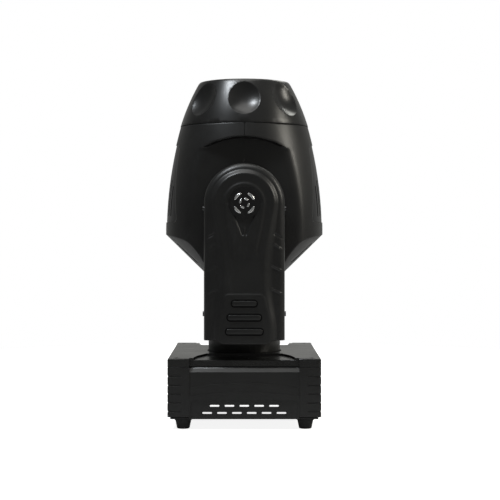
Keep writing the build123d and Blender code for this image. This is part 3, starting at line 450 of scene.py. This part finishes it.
def arm_cover(side):
    """The outer cover: straight columns up to the tilt axis, then a fan of spokes round it."""
    s = SIDES[side]
    row_count, turn_count = 168, 96
    stations = arm_stations()
    rows = [ARM_LOW + (TILT_Z - ARM_LOW) * i / row_count for i in range(row_count + 1)]
    turns = [math.pi * i / turn_count for i in range(1, turn_count)]
    verts, faces = [], []
    width = 2 * len(stations) - 1
    for z in rows:
        half = [arm_column(edge, t, z) for edge, t in stations]
        for x in [-a for a in reversed(half[1:])] + half:
            y = arm_edge_round(abs(x), arm_height(abs(x), z, x))
            verts.append((x, s * y, z - foot_drop(x, z)))
        for x in (ARM_HALF, -ARM_HALF):
            verts.append((x, s * ARM_BACK, z))
    stride = width + 2
    for i in range(row_count):
        row, above = i * stride, (i + 1) * stride
        for j in range(width - 1):
            faces.append((row + j, row + j + 1, above + j + 1, above + j))
        faces.append((row + width - 1, row + width, above + width, above + width - 1))
        faces.append((row + width + 1, row, above, above + width + 1))
    top = row_count * stride
    middle = top + len(stations) - 1
    radii = [arm_column(edge, t, TILT_Z) for edge, t in stations][1:]
    first = len(verts)
    for turn in turns:
        for r in radii:
            x, z = r * math.cos(turn), TILT_Z + r * math.sin(turn)
            verts.append((x, s * arm_edge_round(r, arm_height(r, TILT_Z, r)), z))
        verts.append((ARM_HALF * math.cos(turn), s * ARM_BACK, TILT_Z + ARM_HALF * math.sin(turn)))
    ring = len(radii) + 1
    begin = [middle + 1 + k for k in range(len(radii))] + [top + width]
    end = [middle - 1 - k for k in range(len(radii))] + [top + width + 1]
    spokes = [begin] + [[first + i * ring + k for k in range(ring)] for i in range(len(turns))] + [end]
    for a, b in zip(spokes, spokes[1:]):
        faces.append((middle, a[0], b[0]))
        for k in range(ring - 1):
            faces.append((a[k], a[k + 1], b[k + 1], b[k]))
    if s > 0:
        faces = [f[::-1] for f in faces]
    piece = make_piece(
        f"{side}_arm_shell", verts, faces, "yoke", [f"{side}_arm_cover"], satin, smooth=55,
    )
    add_wall(piece, ARM_WALL)


def slot_outline(long, high, radius, steps=8):
    """A rounded rectangle's points, anticlockwise, about its centre."""
    points = []
    for turn0, cx, cz in ((0, 1, 1), (90, -1, 1), (180, -1, -1), (270, 1, -1)):
        for k in range(steps + 1):
            turn = math.radians(turn0 + 90 * k / steps)
            x = cx * (long / 2 - radius) + radius * math.cos(turn)
            points.append((x, cz * (high / 2 - radius) + radius * math.sin(turn)))
    return points


def bar_layers(side, layers, capped):
    """Rings round each of the three bars; layers are (growth of the outline, height over the panel)."""
    s = SIDES[side]
    verts, faces = [], []
    for bar_z, long in ARM_BARS:
        first = len(verts)
        for grow, rise in layers:
            wider = 2 * (grow - BAR_EDGE)
            ring = slot_outline(long + wider, BAR_HIGH + wider, BAR_CORNER + grow)
            verts += [(x, s * (PANEL_Y + rise), bar_z + z) for x, z in ring]
        faces += grid_faces(len(layers), len(ring), closed=True, start=first, flip=s > 0)
        if capped:
            faces.append(tuple(range(len(verts) - len(ring), len(verts)))[:: -s])
    return verts, faces


def arm_bars(side):
    """The three raised bars on the foot pad, each with a soft top edge, and near-black rings round them:
    painted shade standing for the shadowed groove round each bar.
    """
    verts, faces = bar_layers(side, BAR_LAYERS, True)
    make_piece(f"{side}_arm_bars", verts, faces, "yoke", [], satin)
    verts, faces = bar_layers(side, SHADE_RING_LAYERS, False)
    # Painted shade: a near-black ring round each bar in place of the groove's shadow.
    make_piece(f"{side}_bar_shade_rings", verts, faces, "yoke", [], painted_shade_ring)


def emblem_height(r):
    """The dome's height at a distance from its centre."""
    return EMBLEM_TOP - EMBLEM_DROP * (r / EMBLEM_R) ** EMBLEM_POWER


def emblem(side):
    """A glossy dome seated in the plateau."""
    s = SIDES[side]
    rings, spokes, seat_deep = 16, 96, 4
    verts, faces = [(0, s * EMBLEM_TOP, TILT_Z)], []
    for i in range(1, rings + 1):
        r = EMBLEM_R * i / rings
        for k in range(spokes):
            turn = 2 * math.pi * k / spokes
            verts.append((r * math.cos(turn), s * emblem_height(r), TILT_Z + r * math.sin(turn)))
    verts += [(x, s * (PLATEAU_Y - seat_deep), z) for x, y, z in verts[-spokes:]]
    for k in range(spokes):
        faces.append((0, 1 + k, 1 + (k + 1) % spokes))
    faces += grid_faces(rings + 1, spokes, closed=True, start=1, flip=True)
    if s > 0:
        faces = [f[::-1] for f in faces]
    make_piece(f"{side}_emblem", verts, faces, "yoke", ["arm_badges"], gloss, smooth=50)


def emblem_print(side):
    """A generic ornament laid on the dome: two rings of four plain dashes."""
    s = SIDES[side]
    steps, raised, thick, quarter = 18, 0.12, 0.3, 90
    verts, faces = [], []

    def dash(inner, outer, start, sweep):
        first = len(verts)
        for i in range(steps + 1):
            turn = math.radians(start + sweep * i / steps)
            taper = math.sin(math.pi * clamp(i / steps, 0.04, 0.96)) ** 0.35
            mid, half = (inner + outer) / 2, (outer - inner) / 2 * taper
            for r in (mid - half, mid, mid + half):
                x, z = r * math.cos(turn), TILT_Z + r * math.sin(turn)
                verts.append((x, s * (emblem_height(r) + raised), z))
        faces.extend(grid_faces(steps + 1, 3, start=first, flip=s > 0))

    for inner, outer, start, sweep in ((13.6, 17.6, 20, 50), (5.2, 8.4, 39, 52)):
        for k in range(4):
            dash(inner, outer, start + quarter * k, sweep)
    piece = make_piece(f"{side}_ornament", verts, faces, "yoke", [], silver_print)
    add_wall(piece, thick)


for side in SIDES:
    arm_cover(side)
    arm_bars(side)
    emblem(side)
    emblem_print(side)


# ---------------------------------------------------------------- head shells

PROFILE_X, PROFILE_Z, PROFILE_R = -514.71, 299.28, 642.75
BELLY_TOP = 306
CHEEK_EDGE = ((0, 232), (28, 234.5), (56, 243), (71, 266), (90, 286.6), (129, 298.5))
ARCH_Z, ARCH_R, ARCH_END_Z = 308.5, 142.5, 433.2
WINDOW_TOP, WINDOW_LOW = 444, 318
WINDOW_HALF_TOP, WINDOW_HALF_LOW = 40, 68
SHELL_TOP, SHELL_WALL = 473.9, 3
SEAM_GROOVE, SEAM_OVERLAP = 0.7, 0.02
COVE = 2
CHEEK_BLEND = 7
SOFT_FROM, SOFT_TO, SOFT_MOST = 34, 72, 2.6
ARCH_ABOVE, ARCH_BELOW, LEDGE_BELOW = 5, 7, 25
SEAM_COLUMN = 2.993
COLUMN_COUNTS = (20, 12, 44)
ROW_COUNTS = (11, 24, 7, 33, 16)
ARCH_ROW = 10
TOP_CORNER, LOW_CORNER = (3, 13), (2, 2)


def shell_radius(z):
    """The round body's radius: straight at the belly, then one large arc up to the bezel."""
    if z <= BELLY_TOP:
        return BELLY_R
    return PROFILE_X + math.sqrt(PROFILE_R**2 - (z - PROFILE_Z) ** 2)


def window_half(z):
    share = clamp((z - WINDOW_LOW) / (WINDOW_TOP - WINDOW_LOW))
    return mix(WINDOW_HALF_LOW, WINDOW_HALF_TOP, share)


def edge_angle(z):
    """Angle from the X axis at which the round body meets the flat cheek wall."""
    return math.asin(FLAT_Y / shell_radius(z))


def window_angle(z):
    return math.asin(window_half(z) / shell_radius(z))


def shell_angle(t, z):
    """t runs 0 at the X axis, 1 at the window's side, 2 at the cheek's edge, 3 at the Y axis."""
    stops = (0, window_angle(z), edge_angle(z), math.pi / 2)
    i = min(int(t), 2)
    return mix(stops[i], stops[i + 1], t - i)


def arch_height(t):
    """Height of the row that carries the window's top and the arch."""
    if t <= 1:
        return WINDOW_TOP
    if t <= 2:
        return mix(WINDOW_TOP, ARCH_END_Z, ramp(t, 1, 2))
    z = ARCH_END_Z
    for _ in range(12):
        x = shell_radius(z) * math.cos(shell_angle(t, z))
        z = ARCH_Z + math.sqrt(ARCH_R**2 - x * x)
    return z


def arch_step(inside, soft):
    """Share of the drop from the round body to the flat wall: a soft outer edge, then a hollow cove."""
    edge_half, cove_depth = 2.2 * soft, 0.97
    u = 1 - clamp(inside / COVE)
    return ramp(inside, -edge_half, edge_half) * math.sqrt(max(1 - cove_depth * u * u, 0))


def shell_point(t, z):
    """A point of the front half at +Y; the halves overlap a little where they meet, so no light shows."""
    r, a = shell_radius(z), shell_angle(t, z)
    x, y = r * math.cos(a), r * math.sin(a)
    flat = soft_min(y, FLAT_Y, CHEEK_BLEND)
    inside = ARCH_R - math.hypot(x, max(z - ARCH_Z, 0))
    soft = mix(1, SOFT_MOST, ramp(x, SOFT_FROM, SOFT_TO))
    y = mix(y, flat, arch_step(inside, soft))
    if t == 3:
        return -SEAM_OVERLAP, y - SEAM_GROOVE * ramp(inside, 0, -3), z
    return x, y, z


def shell_rows(t):
    """Heights down one column: seam, arch, ledge, window's foot and lower edge."""
    arch = arch_height(t)
    low = smooth_line(CHEEK_EDGE, BELLY_R * math.cos(shell_angle(t, 300)))
    stops = (SHELL_TOP, arch + ARCH_ABOVE, arch - ARCH_BELOW, arch - LEDGE_BELOW, WINDOW_LOW, low)
    rows = [mix(a, b, i / n) for a, b, n in zip(stops, stops[1:], ROW_COUNTS) for i in range(n)]
    return rows + [low]


def window_corner(end, sy, row, step, wide, deep, verts, faces):
    """Rounds one corner of the window, over wide columns and deep rows from the window's own corner."""
    e, rows = ENDS[end], len(shell_rows(0))
    edge = sum(COLUMN_COUNTS) + 1 + sy * COLUMN_COUNTS[0]
    border = [(edge - sy * k) * rows + row for k in range(wide, 0, -1)]
    border += [edge * rows + row + step * k for k in range(deep + 1)]
    high, low = shell_rows(1)[row], shell_rows(1)[row + step * deep]
    curve = [border[0]]
    for i in range(1, wide + deep):
        u = 0.5 * i / wide if i < wide else 0.5 + 0.5 * (i - wide) / deep
        crown = 0.56 * u * (1 - u)
        t = 1 - wide / COLUMN_COUNTS[0] * (1 - u - crown)
        x, y, z = shell_point(t, high + (low - high) * (u - crown))
        curve.append(len(verts))
        verts.append((e * x, sy * y, z))
    curve.append(border[-1])
    for quad in zip(border, border[1:], curve[1:], curve):
        quad = tuple(dict.fromkeys(quad))
        faces.append(quad if sy * step * e < 0 else quad[::-1])


def head_shell(end):
    """One half of the head's case, with its window left open."""
    e = ENDS[end]
    part = [k + i / n for k, n in enumerate(COLUMN_COUNTS) for i in range(n)] + [SEAM_COLUMN, 3]
    columns = [(-1, t) for t in reversed(part[1:])] + [(1, t) for t in part]
    rows = len(shell_rows(0))
    verts = []
    for sy, t in columns:
        for z in shell_rows(t):
            x, y, z = shell_point(t, z)
            verts.append((e * x, sy * y, z))
    first_open, last_open = ROW_COUNTS[0] + ARCH_ROW, sum(ROW_COUNTS[:4])
    window = [i for i, (sy, t) in enumerate(columns) if t <= 1]

    def is_window(i, j):
        return window[0] <= i < window[-1] and first_open <= j < last_open

    faces = grid_faces(len(columns), rows, skip=is_window, flip=e < 0)
    for sy in (-1, 1):
        window_corner(end, sy, first_open, 1, *TOP_CORNER, verts, faces)
        window_corner(end, sy, last_open, -1, *LOW_CORNER, verts, faces)
    piece = make_piece(
        f"{end}_shell", verts, faces, "head", [f"head_shell_{end}"], satin, smooth=50,
    )
    add_wall(piece, SHELL_WALL)


for end in ENDS:
    head_shell(end)


# ---------------------------------------------------------------- small details

PIN_CIRCLE_R, PIN_ROOT = 4.2, 17.5
PIN_TURNS = (-1.571, 0.5236, 2.618)
PIN_PROFILE = ((0, 1.45), (9.6, 1.45), (11, 1.2), (11.8, 0.6), (12, 0.1))
BLADE_ROOT = 17
BLADE_SPOTS = ((-7, -2), (7, -2), (0, 2))
BLADE_LAYERS = ((0, 0.25), (8.8, 0.25), (9.5, 0))


def signal_pins():
    """Three bright lathe-turned pins in the male signal socket, pointing to -X."""
    low, high = (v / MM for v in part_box("dmx_in_socket"))
    cy, cz = (low.y + high.y) / 2, (low.z + high.z) / 2
    verts, faces, n = [], [], 14
    for spot in PIN_TURNS:
        y0, z0 = cy + PIN_CIRCLE_R * math.cos(spot), cz + PIN_CIRCLE_R * math.sin(spot)
        first = len(verts)
        for reach, r in PIN_PROFILE:
            for k in range(n):
                turn = 2 * math.pi * k / n
                verts.append((low.x + PIN_ROOT - reach, y0 + r * math.cos(turn), z0 + r * math.sin(turn)))
        faces += grid_faces(len(PIN_PROFILE), n, closed=True, start=first, flip=True)
        faces.append(tuple(range(len(verts) - n, len(verts)))[::-1])
    make_piece("signal_pins", verts, faces, "base", [], nickel, smooth=50)


def inlet_blades():
    """Three bright blades in the mains inlet, pointing to -X."""
    low, high = (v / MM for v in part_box("power_inlet"))
    cy, cz = (low.y + high.y) / 2, (low.z + high.z) / 2
    verts, faces = [], []
    for dy, dz in BLADE_SPOTS:
        first = len(verts)
        for reach, grow in BLADE_LAYERS:
            ring = slot_outline(2 + 2 * grow, 4 + 2 * grow, 0.5 + grow, steps=3)
            verts += [(low.x + BLADE_ROOT - reach, cy + dy + u, cz + dz + v) for u, v in ring]
        n = len(ring)
        faces += grid_faces(len(BLADE_LAYERS), n, closed=True, start=first, flip=True)
        faces.append(tuple(range(len(verts) - n, len(verts)))[::-1])
    make_piece("inlet_blades", verts, faces, "base", [], nickel, smooth=50)


SIGN_SUNK, SIGN_PROUD = 0.1, 0.08
DOT_TURN = 0.5236
BUTTON_SIGNS = {
    "up": [[(0, 2.1), (-2.2, -1.5), (2.2, -1.5)]],
    "down": [[(0, -2.1), (2.2, 1.5), (-2.2, 1.5)]],
    "menu": [[(-2.2, z - 0.35), (2.2, z - 0.35), (2.2, z + 0.35), (-2.2, z + 0.35)] for z in (-1.5, 0, 1.5)],
    "enter": [[(1.9 * math.cos(DOT_TURN * k), 1.9 * math.sin(DOT_TURN * k)) for k in range(12)]],
}


def button_signs():
    """Plain arrows, bars and a dot printed on the four buttons."""
    for name, shapes in BUTTON_SIGNS.items():
        low, high = (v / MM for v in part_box(f"{name}_button"))
        cy, cz = (low.y + high.y) / 2, (low.z + high.z) / 2
        verts, faces = [], []
        for shape in shapes:
            first, n = len(verts), len(shape)
            for x in (high.x - SIGN_SUNK, high.x + SIGN_PROUD):
                verts += [(x, cy + u, cz + v) for u, v in shape]
            faces += grid_faces(2, n, closed=True, start=first)
            faces.append(tuple(range(first + n, first + 2 * n)))
        make_piece(f"{name}_sign", verts, faces, f"{name}_button", [], button_print, smooth=30)


signal_pins()
inlet_blades()
button_signs()


# ---------------------------------------------------------------- carried-over parts

FINISHES = {
    satin: ("left_arm_liner", "right_arm_liner", "rear_cover", "bridge_cover"),
    cover_plastic: ("base_top_cover",),
    satin_fine: ("front_bezel", "left_vent_panel", "right_vent_panel", "corner_guard_front_left",
                 "corner_guard_front_right", "corner_guard_rear_left", "corner_guard_rear_right",
                 "control_panel", "connector_panel", "power_inlet", "dmx_in_socket", "dmx_out_socket",
                 "head_fan_frame", "head_fan_rotor"),
    vent_plastic: ("front_side_vent", "rear_side_vent"),
    gloss: ("arm_badges",),
    display_tint: ("display_window",),
    powder: ("left_upright", "right_upright", "base_plate", "base_chassis", "bridge_plate", "head_frame",
             "power_supply", "light_engine", "head_motors", "tilt_axles"),
    black_rubber: ("rubber_feet", "menu_button", "up_button", "down_button", "enter_button", "pan_belt",
                   "tilt_belt"),
    machined: ("pan_motor_pulley", "tilt_motor_pulley", "pan_shaft", "focus_carriage", "colour_wheel",
               "gobo_wheel"),
    turret_plastic: ("pan_turret",),
    zinc: ("pan_bearing", "tilt_bearings", "pan_motor", "tilt_motor"),
    dark_screw: ("arm_screws", "cover_screws"),
    board: ("main_board",),
    glass: ("front_lens", "focus_lens"),
}
SOFT_EDGES = {
    "front_bezel": 0.7, "base_top_cover": 1.0, "left_vent_panel": 0.9, "right_vent_panel": 0.9,
    "corner_guard_front_left": 0.5, "corner_guard_front_right": 0.5, "corner_guard_rear_left": 0.5,
    "corner_guard_rear_right": 0.5, "pan_turret": 1.0, "rear_cover": 0.8, "bridge_cover": 0.8,
    "arm_badges": 0.6,
}
for material, names in FINISHES.items():
    for name in names:
        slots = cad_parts[name].data.materials
        slots.clear()
        slots.append(material)
for name, width in SOFT_EDGES.items():
    soften_edges(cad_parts[name], width)


# ---------------------------------------------------------------- floor, light and camera

FLOOR_R, FLOOR_PLACE = 1.1, (0, 0.35, -0.0005)
FLOOR_WHITE, FLOOR_GLOW, BOUNCE_GLOW = 0.88, 0.88, 0.12
CAMERA_PLACE, CAMERA_LENS, CAMERA_SHIFT = (0, -2.132, 0.296), 93.6, (0.0114, -0.028)
BACK_DIM, BACK_BRIGHT, RIGHT_BRIGHT = 0.11, 0.32, 0.1
LIGHTS = (
    ("key", (-0.75, -0.66, 2.1), (0, 0, 0.45), (0.36, 0.36), 22, (0.9, 0.95, 1.0)),
    ("overhead", (-0.1, -0.2, 2.3), (0, 0, 0.4), (1.3, 1.3), 11, (1.0, 0.99, 0.96)),
    ("side", (1.7, -0.4, 1.15), (0, 0, 0.4), (0.3, 0.8), 11.5, (1.0, 0.96, 0.86)),
    ("behind", (0.7, 1.3, 2.0), (0, 0, 0.3), (0.9, 0.9), 11, (1.0, 1.0, 0.94)),
)


def pale_floor():
    """A pale disc: full white where the camera sees it, and a duller bounce for the object's reflections."""
    material, tree, shader = new_material("pale_floor")
    seen = tree.nodes.new("ShaderNodeLightPath").outputs["Is Camera Ray"]
    dull = colour_between(tree, noise(tree, 3, 3), grey(0.36), grey(0.4))
    tree.links.new(mixed(tree, seen, dull, grey(FLOOR_WHITE)), shader.inputs["Base Color"])
    shader.inputs["Roughness"].default_value = 0.9
    shader.inputs["Emission Color"].default_value = (1, 1, 1, 1)
    tree.links.new(ranged(tree, seen, BOUNCE_GLOW, FLOOR_GLOW, 0, 1), shader.inputs["Emission Strength"])
    bpy.ops.mesh.primitive_circle_add(vertices=96, radius=FLOOR_R, fill_type="NGON", location=FLOOR_PLACE)
    floor = bpy.context.object
    floor.name = "floor"
    floor.data.materials.append(material)


def area_light(name, place, aim, size, power, colour):
    light = bpy.data.lights.new(name, "AREA")
    light.shape = "RECTANGLE"
    light.size, light.size_y = size
    light.energy = power
    light.color = colour
    lamp = bpy.data.objects.new(name, light)
    bpy.context.collection.objects.link(lamp)
    lamp.location = place
    lamp.rotation_euler = (Vector(aim) - Vector(place)).to_track_quat("-Z", "Y").to_euler()


def studio_world():
    """White to the camera. What lights the object is dim in front and brighter behind and at right."""
    world = bpy.data.worlds.new("studio")
    world.use_nodes = True
    tree = world.node_tree
    tree.nodes.clear()
    out = tree.nodes.new("ShaderNodeOutputWorld")
    seen = tree.nodes.new("ShaderNodeBackground")
    lit = tree.nodes.new("ShaderNodeBackground")
    rays = tree.nodes.new("ShaderNodeLightPath")
    either = tree.nodes.new("ShaderNodeMixShader")
    seen.inputs["Color"].default_value = (1, 1, 1, 1)
    lit.inputs["Color"].default_value = (1, 1, 0.96, 1)
    way = tree.nodes.new("ShaderNodeTexCoord")
    parts = tree.nodes.new("ShaderNodeSeparateXYZ")
    tree.links.new(way.outputs["Generated"], parts.inputs["Vector"])
    back = ranged(tree, parts.outputs["Y"], BACK_DIM, BACK_BRIGHT, 0.45, 0.95)
    right = ranged(tree, parts.outputs["X"], 0, RIGHT_BRIGHT, -0.7, 0.7)
    tree.links.new(added(tree, back, right), lit.inputs["Strength"])
    tree.links.new(rays.outputs["Is Camera Ray"], either.inputs["Fac"])
    tree.links.new(lit.outputs["Background"], either.inputs[1])
    tree.links.new(seen.outputs["Background"], either.inputs[2])
    tree.links.new(either.outputs["Shader"], out.inputs["Surface"])
    return world


def studio():
    """The world, the lights and the camera, which looks along +Y."""
    scene = bpy.context.scene
    scene.view_settings.view_transform = "Standard"
    scene.world = studio_world()
    for light in LIGHTS:
        area_light(*light)
    camera = bpy.data.objects.new("camera", bpy.data.cameras.new("camera"))
    bpy.context.collection.objects.link(camera)
    camera.location = CAMERA_PLACE
    camera.rotation_euler = (math.pi / 2, 0, 0)
    camera.data.lens = CAMERA_LENS
    camera.data.sensor_width = 36
    camera.data.shift_x, camera.data.shift_y = CAMERA_SHIFT
    scene.camera = camera


pale_floor()
studio()

bpy.context.view_layer.update()
